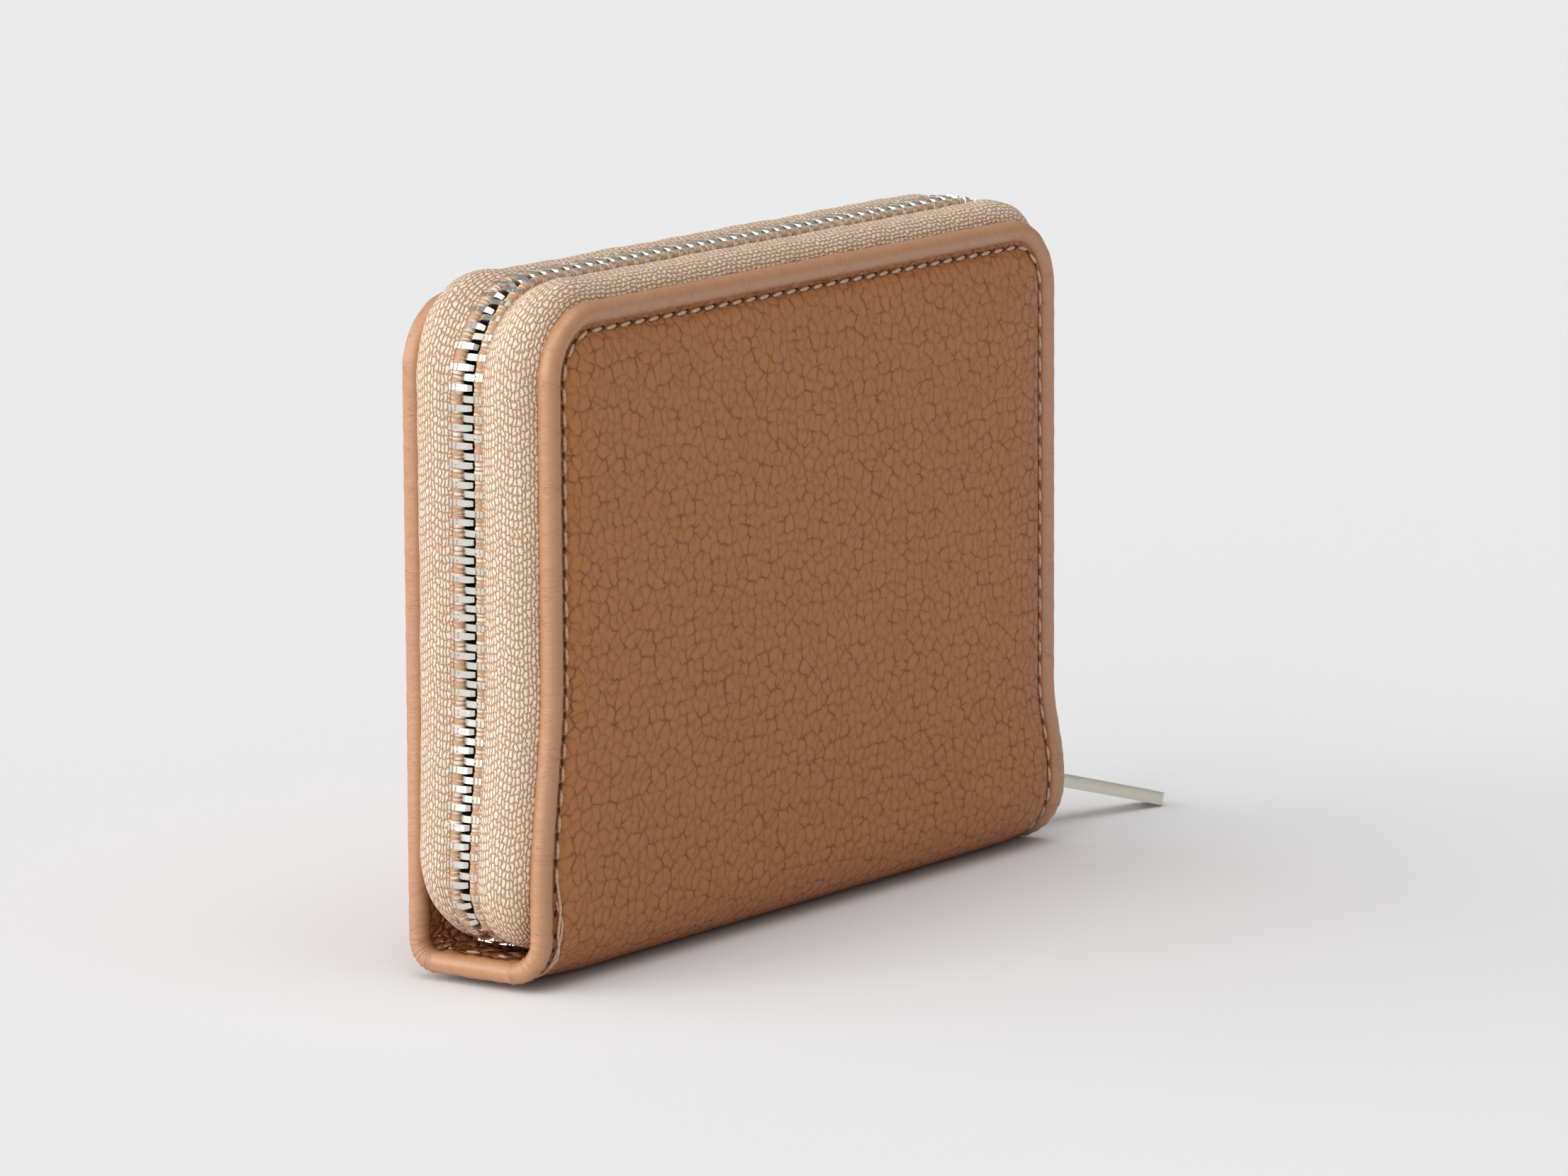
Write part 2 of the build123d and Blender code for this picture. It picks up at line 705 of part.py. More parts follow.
def coin_slider():
    """The upper plate carries the flanges; the lower one fits between the pocket's walls."""
    with BuildPart() as body:
        with BuildSketch(Plane.XY.offset(coin_channel_top)):
            Polygon(*coin_slider_outline(0), align=None)
        extrude(amount=COIN_PLATE)
        with BuildSketch(Plane.XY.offset(coin_channel_top)):
            Polygon(*coin_slider_outline(0), align=None)
            Polygon(*coin_slider_outline(COIN_FLANGE, 1.0), align=None, mode=Mode.SUBTRACT)
        extrude(amount=COIN_TAPE / 2 + SLIDER_GAP - (coin_channel_top - coin_chain_z))
        with BuildSketch(Plane.XY.offset(coin_channel_bottom)):
            with Locations((COIN_SLIDER_X, 0)):
                Rectangle(COIN_SLIDER_LENGTH, COIN_GAP - 2 * SLIDER_GAP)
        extrude(amount=-COIN_PLATE)
        with BuildSketch(Plane.XY.offset(coin_channel_bottom)):
            with Locations((COIN_SLIDER_X + COIN_SLIDER_LENGTH / 4, 0)):
                Rectangle(COIN_POST_LENGTH, 2 * COIN_POST_HALF_WIDTH)
        extrude(amount=coin_channel_top - coin_channel_bottom)
    return body


def coin_bridge():
    rise = COIN_BRIDGE_OPENING + BRIDGE_CAP
    half = COIN_BRIDGE_LENGTH / 2
    with BuildPart() as bridge:
        with BuildSketch(Plane.XZ):
            with Locations((COIN_SLIDER_X, coin_plate_face + rise / 2)):
                Rectangle(2 * half, rise)
        extrude(amount=BRIDGE_WIDTH / 2, both=True)
        fillet(bridge.edges().filter_by(Axis.Y).group_by(Axis.Z)[-1], BRIDGE_CAP)
        with BuildSketch(Plane.XZ):
            with Locations((COIN_SLIDER_X, coin_plate_face + COIN_BRIDGE_OPENING / 2)):
                Rectangle(2 * (half - BRIDGE_WALL), COIN_BRIDGE_OPENING)
        extrude(amount=BRIDGE_WIDTH, both=True, mode=Mode.SUBTRACT)
    return bridge


def coin_pull():
    """A small flat pull that lies along the chain, with its eye round the bridge."""
    hole = COIN_BRIDGE_LENGTH / 2 + COIN_EYE_GAP
    bore = COIN_EYE_THICKNESS / 2
    with BuildPart() as bar:
        with BuildSketch(Plane.XY.offset(coin_pivot_z)):
            with Locations((COIN_SLIDER_X + COIN_PULL_LENGTH / 2, 0)):
                RectangleRounded(COIN_PULL_LENGTH, COIN_PULL_WIDTH, BRIDGE_WALL)
            with Locations((COIN_SLIDER_X + (bore + hole) / 2, 0)):
                Rectangle(hole - bore, BRIDGE_WIDTH + 2 * COIN_EYE_GAP, mode=Mode.SUBTRACT)
        extrude(amount=bore, both=True)
        with BuildSketch(Plane.XZ):
            with Locations((COIN_SLIDER_X, coin_pivot_z)):
                Circle(bore)
        extrude(amount=COIN_PULL_WIDTH / 2 - BRIDGE_WALL, both=True)
    return bar


def coin_stops():
    """Two clamps on the loose edges of the coin zip, beyond the slider's mouth."""
    across = COIN_BEAD_ACROSS + COIN_SPREAD - COIN_STOP_WIDTH / 2
    with BuildPart() as stops:
        with BuildSketch(coin_plane(COIN_SLIDER_X + COIN_SLIDER_LENGTH / 2 + COIN_STOP_LENGTH)):
            with Locations((-across, 0), (across, 0)):
                Rectangle(COIN_STOP_WIDTH, COIN_TAPE + 2 * STOP_GAP)
        extrude(amount=COIN_STOP_LENGTH)
    return stops


def gusset(side, end):
    """One fold of lining between a cover and the coin pocket, its ridge pointing inwards."""
    outer_x = end * (GUSSET_X + GUSSET_SHEET / 2)
    inner_x = end * (GUSSET_X - GUSSET_SHEET / 2)
    ridge = (inside_face + coin_face) / 2
    with BuildPart() as fold:
        with BuildSketch(Plane.XY.offset(GUSSET_BOTTOM)):
            Polygon(
                (inner_x, side * inside_face),
                (outer_x, side * inside_face),
                (outer_x - end * GUSSET_DEPTH, side * ridge),
                (outer_x, side * coin_face),
                (inner_x, side * coin_face),
                (inner_x - end * GUSSET_DEPTH, side * ridge),
                align=None,
            )
        extrude(amount=GUSSET_TOP - GUSSET_BOTTOM)
    return fold


# Everything is made and written here, one file for each piece

os.makedirs("parts", exist_ok=True)

route_length = zip_route().length
right_stretch_start = route_length - (right_stretch_top - SLIDER_BOTTOM)
right_stretch_end = route_length - (chain_start - SLIDER_BOTTOM)

for side, name in ((-1, "front"), (1, "rear")):
    save(
        cover_sheet(side, half_depth, LEATHER, panel_half_width, fold_z, panel_top,
                    CORNER_RADIUS - BINDING_DIAMETER),
        f"{name}_cover_leather",
    )
    save(
        cover_sheet(side, board_face, BOARD, panel_half_width - BOARD_MARGIN,
                    fold_z + BOARD_MARGIN, panel_top - BOARD_MARGIN,
                    CORNER_RADIUS - BINDING_DIAMETER - BOARD_MARGIN),
        f"{name}_cover_board",
    )
    save(
        cover_sheet(side, lining_face, LINING, panel_half_width, fold_z, panel_top,
                    CORNER_RADIUS - BINDING_DIAMETER),
        f"{name}_cover_lining",
    )
    save(cover_binding(side), f"{name}_binding")
    save(cover_stitches(side), f"{name}_stitches")
    for number in range(len(POCKET_TOPS)):
        save(card_pocket(side, number), f"{name}_card_pocket_{number + 1}")

    rim = tape_line(tape_rim_across, hem=True)
    tail = tape_line(tape_rim_across - TAIL_CLEARANCE, hem=False)
    cover_route = [
        (-half_width, 0, TAIL_TOP),
        (-half_width, 0, HEIGHT),
        (half_width, 0, HEIGHT),
        (half_width, 0, right_stretch_top),
    ]
    tail_route = [
        (TAIL_LENGTH - half_width, 0, TAIL_HEIGHT),
        (-half_width, 0, TAIL_HEIGHT),
        (-half_width, 0, TAIL_TOP),
    ]
    right_route = [(half_width, 0, right_stretch_top), (half_width, 0, chain_start)]
    save(swept_tape(side, cover_route, CORNER_RADIUS, rim), f"{name}_zip_tape")
    save(swept_tape(side, right_route, 0, tail), f"{name}_zip_tape_right")
    save(swept_tape(side, tail_route, TAIL_RADIUS, tail), f"{name}_zip_tape_tail")
    save(mouth_tape(side), f"{name}_zip_tape_end")
    save(teeth(side, tail_length, right_stretch_start), f"{name}_teeth")
    save(teeth(side, right_stretch_start, right_stretch_end), f"{name}_teeth_right")
    save(teeth(side, 0, tail_length), f"{name}_teeth_tail")

    save(coin_wall(side), f"coin_pocket_{name}_wall")
    save(coin_tape(side), f"coin_zip_{name}_tape")
    save(coin_teeth(side), f"coin_zip_{name}_teeth")
    for end, hand in ((-1, "left"), (1, "right")):
        save(gusset(side, end), f"{name}_{hand}_gusset")

save(spine_layer(0, LEATHER), "spine_leather")
save(spine_layer(LEATHER, BOARD), "spine_filler")
save(spine_layer(LEATHER + BOARD, LINING), "spine_lining")
for end, hand in ((-1, "left"), (1, "right")):
    save(spine_binding(end), f"spine_{hand}_binding")
    save(coin_end(end), f"coin_pocket_{hand}_end")
save(mouth_teeth(), "mouth_teeth")
save(top_stops(), "top_stops")
save(bottom_stop(), "bottom_stop")
save(slider_body(), "slider_body")
save(slider_bridge(), "slider_bridge")
save(pull(), "pull")
save(coin_floor(), "coin_pocket_floor")
save(coin_web(), "coin_pocket_web")
save(coin_slider(), "coin_slider_body")
save(coin_bridge(), "coin_slider_bridge")
save(coin_pull(), "coin_pull")
save(coin_stops(), "coin_zip_stops")
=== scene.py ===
import math

import bmesh
import bpy
from mathutils import Matrix, Vector


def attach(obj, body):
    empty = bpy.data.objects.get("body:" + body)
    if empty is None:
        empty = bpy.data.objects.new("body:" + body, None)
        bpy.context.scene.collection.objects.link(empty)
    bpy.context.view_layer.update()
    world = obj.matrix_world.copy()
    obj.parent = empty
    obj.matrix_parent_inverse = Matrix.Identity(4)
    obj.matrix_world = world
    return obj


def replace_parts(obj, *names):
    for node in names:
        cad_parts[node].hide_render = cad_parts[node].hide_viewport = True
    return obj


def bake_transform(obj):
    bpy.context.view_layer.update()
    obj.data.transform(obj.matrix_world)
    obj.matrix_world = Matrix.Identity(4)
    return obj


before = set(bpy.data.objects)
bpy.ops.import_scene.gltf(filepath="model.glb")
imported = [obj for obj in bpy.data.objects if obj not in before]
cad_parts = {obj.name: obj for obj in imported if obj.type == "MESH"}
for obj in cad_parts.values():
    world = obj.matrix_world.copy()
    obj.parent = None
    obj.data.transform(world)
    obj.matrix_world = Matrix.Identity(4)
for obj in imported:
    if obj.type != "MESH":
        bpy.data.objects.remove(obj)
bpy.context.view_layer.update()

# The table and the studio.
# A pale, matt surface far wider than the wallet, lit by a soft dome with a panel overhead, a bright
# one beyond the wallet's left end and a weaker one behind it. The camera stands off the left front.
scene = bpy.context.scene
scene.view_settings.view_transform = "Standard"


class Wire:
    """A shader socket in Python arithmetic."""

    def __init__(self, tree, socket):
        self.tree, self.socket = tree, socket

    def maths(self, operation, *others):
        node = self.tree.nodes.new("ShaderNodeMath")
        node.operation = operation
        for slot, value in zip(node.inputs, (self, *others)):
            if isinstance(value, Wire):
                self.tree.links.new(value.socket, slot)
            else:
                slot.default_value = value
        return Wire(self.tree, node.outputs[0])

    def __add__(self, other):
        return self.maths("ADD", other)

    __radd__ = __add__

    def __mul__(self, other):
        return self.maths("MULTIPLY", other)

    __rmul__ = __mul__

    def __sub__(self, other):
        return self.maths("SUBTRACT", other)

    def __rsub__(self, other):
        return (self * -1.0) + other

    def __truediv__(self, other):
        return self.maths("DIVIDE", other)

    def __pow__(self, other):
        return self.maths("POWER", other)

    def step(self, low, high):
        """0 below low and 1 above high, with a smooth rise between them."""
        node = self.tree.nodes.new("ShaderNodeMapRange")
        node.interpolation_type = "SMOOTHSTEP"
        node.inputs["From Min"].default_value = low
        node.inputs["From Max"].default_value = high
        self.tree.links.new(self.socket, node.inputs["Value"])
        return Wire(self.tree, node.outputs["Result"])


class Finish:
    """A material, or the world, and the nodes that make it."""

    def __init__(self, owner):
        owner.use_nodes = True
        self.owner, self.tree = owner, owner.node_tree
        self.shader = self.tree.nodes.get("Principled BSDF") or self.tree.nodes.get("Background")

    def node(self, kind, output=0, settings=(), **values):
        node = self.tree.nodes.new("ShaderNode" + kind)
        for name, value in dict(settings).items():
            setattr(node, name, value)
        for name, value in values.items():
            self.feed(node.inputs[int(name[1:]) if name[1:].isdigit() else name.replace("_", " ")], value)
        return Wire(self.tree, node.outputs[output])

    def feed(self, slot, value):
        if isinstance(value, Wire):
            self.tree.links.new(value.socket, slot)
        else:
            slot.default_value = value

    def set(self, **values):
        for name, value in values.items():
            self.feed(self.shader.inputs[name.replace("_", " ")], value)
        return self.owner

    def mixed(self, share, first, second):
        """A colour between two others."""
        return self.node("Mix", 2, {"data_type": "RGBA"}, i0=share, i6=first, i7=second)

    def raised(self, height):
        """The normal of a relief whose height is in millimetres."""
        return self.node("Bump", Strength=1.0, Distance=0.001, Height=height)


def toward(direction, spread, glow):
    """A soft-edged panel of light in the sky, in one direction."""
    way = Vector(direction).normalized()
    facing = sky.node("VectorMath", "Value", {"operation": "DOT_PRODUCT"}, i0=heaven, i1=way)
    rim, heart = (math.cos(math.radians(spread * share)) for share in (1.35, 0.65))
    return facing.step(rim, heart) * glow


scene.world = bpy.data.worlds.new("studio")
sky = Finish(scene.world)
heaven = sky.node("TexCoord", "Generated")
left_panel = toward((-0.94, 0.2, 0.24), 35, 2.6)
back_panel = toward((-0.35, 0.93, 0.16), 30, 1.5)
top_panel = toward((-0.15, -0.1, 1), 26, 1.9)
dome_glow = 0.32
sky.set(Color=(1.0, 1.0, 1.0, 1), Strength=left_panel + back_panel + top_panel + dome_glow)

bm = bmesh.new()
bmesh.ops.create_grid(bm, x_segments=1, y_segments=1, size=12)
mesh = bpy.data.meshes.new("floor")
bm.to_mesh(mesh)
bm.free()
floor = bpy.data.objects.new("floor", mesh)
scene.collection.objects.link(floor)
table = Finish(bpy.data.materials.new("matt_table"))
mesh.materials.append(table.set(Base_Color=(0.765, 0.765, 0.77, 1), Roughness=0.9))
table.shader.inputs["Specular IOR Level"].default_value = 0.0

camera = bpy.data.objects.new("camera", bpy.data.cameras.new("camera"))
scene.collection.objects.link(camera)
camera.data.lens = 189.37
camera.data.sensor_width = 36
camera.data.clip_end = 50
looking = Vector((0.80261, 0.57152, -0.17099))
roll = 0.0054
right = looking.cross((0, 0, 1)).normalized()
right = (Matrix.Rotation(roll, 3, looking) @ right).normalized()
above = right.cross(looking)
turned = Matrix((right, above, -looking)).transposed().to_4x4()
camera.matrix_world = Matrix.Translation((-0.89593, -0.64505, 0.23581)) @ turned
scene.camera = camera

# Cover leather.
# One skin of pebbled calf on each side, cut flat, wrapped round half of the spine and up the
# cover. It is padded by the board behind it and pulled down where the seam runs by the binding.
half_width, half_depth, height = 59.0, 12.5, 90.0
bend = 9.0
flat = half_depth - bend
rise = flat + bend * math.pi / 2 - bend
corner_radius = 10.0
corner_middle = half_width - corner_radius
corner = height - corner_radius + rise
seam_inset, stitch_pitch = 3.7, 3.1
sewn_edge = half_width - 1.5
cover_fold = ((0, 0, 0.003), (0, 0, 0.017))


def eased(share):
    share = min(max(share, 0.0), 1.0)
    return share * share * (3 - 2 * share)


def slouch(bm, zip_part=False):
    """The ends spread a little just above the spine; at the left the flanks pinch in and the end lifts."""
    for vertex in bm.verts:
        x, y, z = vertex.co
        end = x / half_width
        left, right = eased((42 - z) / 30), eased((24 - z) / 14)
        spread = left if x < 0 else right
        pinch = (1.5 if y > 0 else 0.7) * left * (1 - end) / 2
        lift = 0.9 * eased((-44 - x) / 14) * eased((24 - z) / 24)
        if zip_part:
            spread, lift = left if x < 0 else 0, 0
        else:
            pinch += 0.25 * right * (1 + end) / 2
        vertex.co.x += (2.0 if x < 0 else 3.0) * spread * end
        vertex.co.y *= 1 - pinch / half_depth
        vertex.co.z += lift


def folded(bm, side):
    """Wraps a flat piece, whose Y is its height up the cover and Z stands out of it, round the spine."""
    for vertex in bm.verts:
        x, up, out = vertex.co
        tight = bend - (4.5 if side > 0 else 2.5) * eased((-47 - x) / 12)
        over = up - flat - bend * math.pi / 2
        turn = min(max(math.pi / 2 + over / bend, 0.0), math.pi / 2)
        y = min(up, flat) * (half_depth - tight) / flat + tight * math.sin(turn)
        z = tight - tight * math.cos(turn) + (bend - tight) * eased(over / 18) + max(over, 0.0)
        vertex.co = (x, side * (y + out * math.sin(turn)), z - out * math.cos(turn))
    if side > 0:
        bmesh.ops.reverse_faces(bm, faces=bm.faces)


def keep_cut(bm):
    """Keeps where each point lies on the flat piece, in millimetres, for the patterns."""
    layer = bm.loops.layers.uv.new("cut")
    for face in bm.faces:
        for loop in face.loops:
            loop[layer].uv = loop.vert.co.xy


def piece(name, bm, material, slot, *bodies, fold=cover_fold, smooth=True):
    """The finished mesh, in metres, on its body, or with its placement baked in when it lies between the spine and
    a cover.
    """
    bmesh.ops.scale(bm, vec=(0.001, 0.001, 0.001), verts=bm.verts)
    mesh = bpy.data.meshes.new(name)
    bm.to_mesh(mesh)
    bm.free()
    mesh.materials.append(material)
    if smooth:
        mesh.shade_smooth()
    made = bpy.data.objects.new(name, mesh)
    scene.collection.objects.link(made)
    if len(bodies) == 2:
        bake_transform(made)
    else:
        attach(made, *bodies)
    return made


def walled(made, thickness):
    """Gives a skin its thickness, behind the face that shows."""
    wall = made.modifiers.new("thickness", "SOLIDIFY")
    wall.thickness, wall.offset = thickness, -1


def seam_distance(x, up):
    """How far a point on the flat skin lies inside the seam."""
    across = half_width - seam_inset - abs(x)
    down = height + rise - seam_inset - up
    reach = corner_radius - seam_inset
    if across < reach and down < reach:
        return reach - math.hypot(reach - across, reach - down)
    return min(across, down)


def skin(columns, rows, half, top):
    """A flat sheet whose points lie closer together at its edges, with round top corners."""
    bm = bmesh.new()
    bmesh.ops.create_grid(bm, x_segments=columns, y_segments=rows, size=1)
    for vertex in bm.verts:
        x, up = vertex.co.x, (vertex.co.y + 1) / 2
        vertex.co = (half * (1.35 * x - 0.35 * x**3), top * (1.35 * up - 0.35 * up**3), 0)
    reach = half - corner_middle
    for end in (-1, 1):
        for turn in (9, 27, 45, 63, 81):
            way = Vector((end * math.cos(math.radians(turn)), math.sin(math.radians(turn)), 0))
            bmesh.ops.bisect_plane(
                bm, geom=[*bm.verts, *bm.edges, *bm.faces], plane_no=way, clear_outer=True,
                plane_co=Vector((end * corner_middle, corner, 0)) + reach * way,
            )
    return bm


def deeper(colour, share):
    """The same colour, darkened."""
    return (*(channel * share for channel in colour[:3]), 1)


def pebbled(name, base, crease, cell=1.7, depth=1.0):
    """Drum-dyed leather with a shrunken grain: soft pebbles parted by fine creases, with painted shade in the
    creases.
    """
    look = Finish(bpy.data.materials.new(name))
    cut = look.node("UVMap", settings={"uv_map": "cut"})
    drift = look.node("TexNoise", "Color", i0=cut, Scale=0.45, Detail=3.0)
    drift = look.node("VectorMath", settings={"operation": "SUBTRACT"}, i0=drift, i1=(0.5, 0.5, 0.5))
    drift = look.node("VectorMath", settings={"operation": "SCALE"}, i0=drift, Scale=2.1)
    bent = look.node("VectorMath", settings={"operation": "ADD"}, i0=cut, i1=drift)
    laid = look.node("Mapping", Vector=bent, Scale=(1 / cell, 0.94 / cell, 1))
    flat_cells = {"voronoi_dimensions": "2D"}
    to_edge = {**flat_cells, "feature": "DISTANCE_TO_EDGE"}
    edge = look.node("TexVoronoi", "Distance", to_edge, Vector=laid, Scale=1.0, Randomness=0.9)
    middle = look.node("TexVoronoi", "Position", flat_cells, Vector=laid, Scale=1.0, Randomness=0.9)
    reach = look.node("TexVoronoi", "Distance", flat_cells, Vector=laid, Scale=1.0, Randomness=0.9)
    small = look.node("TexVoronoi", "Distance", to_edge, Vector=laid, Scale=2.3, Randomness=1.0)
    away = look.node("VectorMath", settings={"operation": "SUBTRACT"}, i0=laid, i1=middle)
    beside = look.node("SeparateXYZ", "X", i0=away).maths("ABSOLUTE")
    # Upright creases get the most painted shade, as if the light fell from the left.
    upright = (beside / (reach + 0.02)).step(0.25, 0.9)
    uneven = look.node("TexNoise", "Fac", i0=cut, Scale=0.7, Detail=3.0)
    pores = look.node("TexNoise", "Fac", i0=cut, Scale=5.5, Detail=3.0)
    cloud = look.node("TexNoise", "Fac", i0=cut, Scale=0.07, Detail=2.0)
    line = (1 - edge.step(0.0, 0.1)) * uneven.step(0.3, 0.56)
    knot = (1 - edge.step(0.02, 0.13)) * reach.step(0.5, 0.8)
    fine = (1 - small.step(0.0, 0.1)) * uneven.step(0.42, 0.66)
    dome = edge.step(0.0, 0.34)
    relief = dome * (0.13 * depth) - line * (0.05 * depth) - knot * (0.05 * depth) - fine * (0.02 * depth)
    relief = relief + pores * 0.016
    # Painted shade: the creases, their knots and the low rims of the pebbles are darkened towards the crease
    # colour.
    shade = line * (upright * 0.42 + 0.08) + knot * 0.4 + fine * 0.14 + (1 - dome) * 0.06
    tone = look.mixed(cloud.step(0.3, 0.7) * 0.3 + pores * 0.16, base, deeper(base, 0.9))
    look.shader.inputs["Specular IOR Level"].default_value = 0.4
    return look.set(
        Base_Color=look.mixed(shade.maths("MINIMUM", 1.0), tone, crease),
        Roughness=line * 0.15 + (pores * 0.12 + 0.4), Normal=look.raised(relief),
    )


# The second colour is the painted shade in the creases.
calf = pebbled("pebbled_calf", (0.44, 0.17, 0.053, 1), (0.2, 0.058, 0.016, 1))
top = height - 1.5 + rise
for side, name in ((-1, "front"), (1, "rear")):
    bm = skin(132, 120, sewn_edge, top)
    keep_cut(bm)
    for vertex in bm.verts:
        inside = seam_distance(vertex.co.x, vertex.co.y)
        along = vertex.co.y if abs(vertex.co.x) > 50 else vertex.co.x
        pull = math.exp(-((inside / 0.8) ** 2)) * (0.55 + 0.1 * math.cos(2 * math.pi * along / stitch_pitch))
        pad = 0.85 * (1 - math.exp(-max(inside, 0) / 9)) * eased((vertex.co.y - 12) / 30)
        dip = 0.45 * math.exp(-max(inside, 0) / 2.6)
        vertex.co.z = pad - dip - pull - 0.5 * eased(-inside / 1.5)
    folded(bm, side)
    slouch(bm)
    leather = piece(f"{name}_leather", bm, calf, "leather", "spine", f"{name}_cover")
    walled(leather, 0.0008)
    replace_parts(leather, f"{name}_cover_leather", "spine_leather")

# Bindings.
# A strip of the same calf, skived thin and rolled round a cord into a 3 mm tube. One runs from the
# middle of the spine up the cover's left edge, over the top and down again; it creases at the bends.


def way_round(along, start, heading, legs):
    """Place and heading on a line of straight runs joined by right-hand quarter turns."""
    x, y = start
    for run, radius in legs:
        ahead = Vector((math.cos(heading), math.sin(heading)))
        step = min(along, run)
        x, y, along = x + step * ahead.x, y + step * ahead.y, along - step
        if along <= 0 or not radius:
            break
        turn = min(along / radius, math.pi / 2)
        centre = Vector((x + radius * ahead.y, y - radius * ahead.x))
        heading -= turn
        x, y = centre.x - radius * math.sin(heading), centre.y + radius * math.cos(heading)
        along -= turn * radius
        if along <= 0:
            break
    return x, y, heading


def length_of(legs):
    return sum(run + radius * math.pi / 2 for run, radius in legs)


def cover_legs(inset):
    """The runs and turns of a line that follows the cover's rim, so far inside it."""
    turn = corner_radius - inset
    return (corner, turn), (2 * corner_middle, turn), (corner, 0)


def rolled(name, base, painted_wrinkle_shade):
    """Skived calf stretched smooth round a cord, with short wrinkles that run round it, their lines darkened as
    painted shade.
    """
    look = Finish(bpy.data.materials.new(name))
    cut = look.node("UVMap", settings={"uv_map": "cut"})
    wide = look.node("Mapping", Vector=cut, Scale=(0.85, 0.16, 1))
    bands = look.node("TexNoise", "Fac", i0=wide, Scale=1.0, Detail=2.0)
    narrow = look.node("Mapping", Vector=cut, Scale=(1.9, 0.4, 1))
    streaks = look.node("TexNoise", "Fac", i0=narrow, Scale=1.0, Detail=4.0)
    grain = look.node("TexNoise", "Fac", i0=cut, Scale=4.5, Detail=3.0)
    uneven = look.node("TexNoise", "Fac", i0=cut, Scale=0.3, Detail=2.0)
    line = (1 - (bands - 0.5).maths("ABSOLUTE").step(0.0, 0.014)) * uneven.step(0.46, 0.62)
    relief = streaks * 0.09 + bands * 0.10 + grain * 0.014 - line * 0.035
    look.shader.inputs["Specular IOR Level"].default_value = 0.85
    tone = look.mixed(streaks.step(0.3, 0.7) * 0.5, base, deeper(base, 0.88))
    # Painted shade: the wrinkle lines are darkened towards the second colour.
    return look.set(
        Base_Color=look.mixed(line * 0.45, tone, painted_wrinkle_shade), Roughness=grain * 0.1 + 0.36, Normal=look.raised(relief),
    )


tube = 1.5
# Its second colour is the painted shade in the wrinkle lines.
edge_calf = rolled("rolled_calf", (0.48, 0.235, 0.112, 1), (0.26, 0.095, 0.035, 1))
edge_legs = cover_legs(tube)
edge_length = length_of(edge_legs)
for side, name in ((-1, "front"), (1, "rear")):
    bm = bmesh.new()
    bmesh.ops.create_grid(bm, x_segments=520, y_segments=20, size=1)
    bmesh.ops.scale(bm, vec=(edge_length / 2, math.pi * tube, 1), verts=bm.verts)
    bmesh.ops.translate(bm, vec=(edge_length / 2, math.pi * tube, 0), verts=bm.verts)
    keep_cut(bm)
    for vertex in bm.verts:
        along, around = vertex.co.x, vertex.co.y / tube
        x, up, heading = way_round(along, (tube - half_width, 0.0), math.pi / 2, edge_legs)
        low = eased((30 - up) / 22)
        wrinkle = 0.02 * math.sin(along * 1.9) * math.sin(along * 0.37) + 0.045 * low * math.sin(along * 3.3)
        thick = tube * (1 + wrinkle)
        outward, out = thick * math.cos(around), thick * math.sin(around) - tube
        vertex.co = (x - outward * math.sin(heading), up + outward * math.cos(heading), out)
    bmesh.ops.remove_doubles(bm, verts=bm.verts, dist=0.01)
    folded(bm, side)
    bmesh.ops.recalc_face_normals(bm, faces=bm.faces)
    slouch(bm)
    binding = piece(f"{name}_edge_binding", bm, edge_calf, "binding_leather", "spine", f"{name}_cover")
    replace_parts(binding, f"{name}_binding", "spine_left_binding", "spine_right_binding")

# Seam.
# Waxed thread in a groove just inside the binding, a lockstitch every 3.1 mm, with a near-black bead
# between one and the next as painted shade for its needle hole. At the left foot of each cover it ends in two
# long, loose strands.


def waxed(name, base):
    look = Finish(bpy.data.materials.new(name))
    place = look.node("TexCoord", "Object")
    plies = look.node("TexWave", "Fac", {"bands_direction": "DIAGONAL"}, i0=place, Scale=900.0, Distortion=2.0)
    fuzz = look.node("TexNoise", "Fac", i0=place, Scale=2500.0)
    tone = look.mixed(plies * 0.4 + fuzz * 0.3, base, deeper(base, 0.6))
    return look.set(Base_Color=tone, Roughness=fuzz * 0.2 + 0.45, Normal=look.raised(plies * 0.05 + fuzz * 0.02))


def strand(bm, points, radius):
    """A thin thread through a few points on the flat piece."""
    tube_wall = bmesh.ops.create_grid(bm, x_segments=8 * (len(points) - 1), y_segments=6, size=1)["verts"]
    for vertex in tube_wall:
        along, around = (vertex.co.x + 1) / 2 * (len(points) - 1), vertex.co.y * math.pi
        number = min(int(along), len(points) - 2)
        here, ahead = Vector(points[number]), Vector(points[number + 1])
        middle = here.lerp(ahead, eased(along - number) * 0.5 + (along - number) * 0.5)
        beside = (ahead - here).cross((0, 0, 1)).normalized()
        vertex.co = middle + radius * (math.cos(around) * beside + math.sin(around) * Vector((0, 0, 1)))
    bmesh.ops.remove_doubles(bm, verts=tube_wall, dist=0.001)


def stitched(bm, place, heading, size):
    """One stitch, or the painted shade of one needle hole, as a bead that lies along the seam."""
    lay = (
        Matrix.Translation(place) @ Matrix.Rotation(heading, 4, "Z") @ Matrix.Diagonal((*size, 1))
        @ Matrix.Rotation(math.pi / 2, 4, "Y")
    )
    bmesh.ops.create_uvsphere(bm, u_segments=8, v_segments=6, radius=1, matrix=lay)


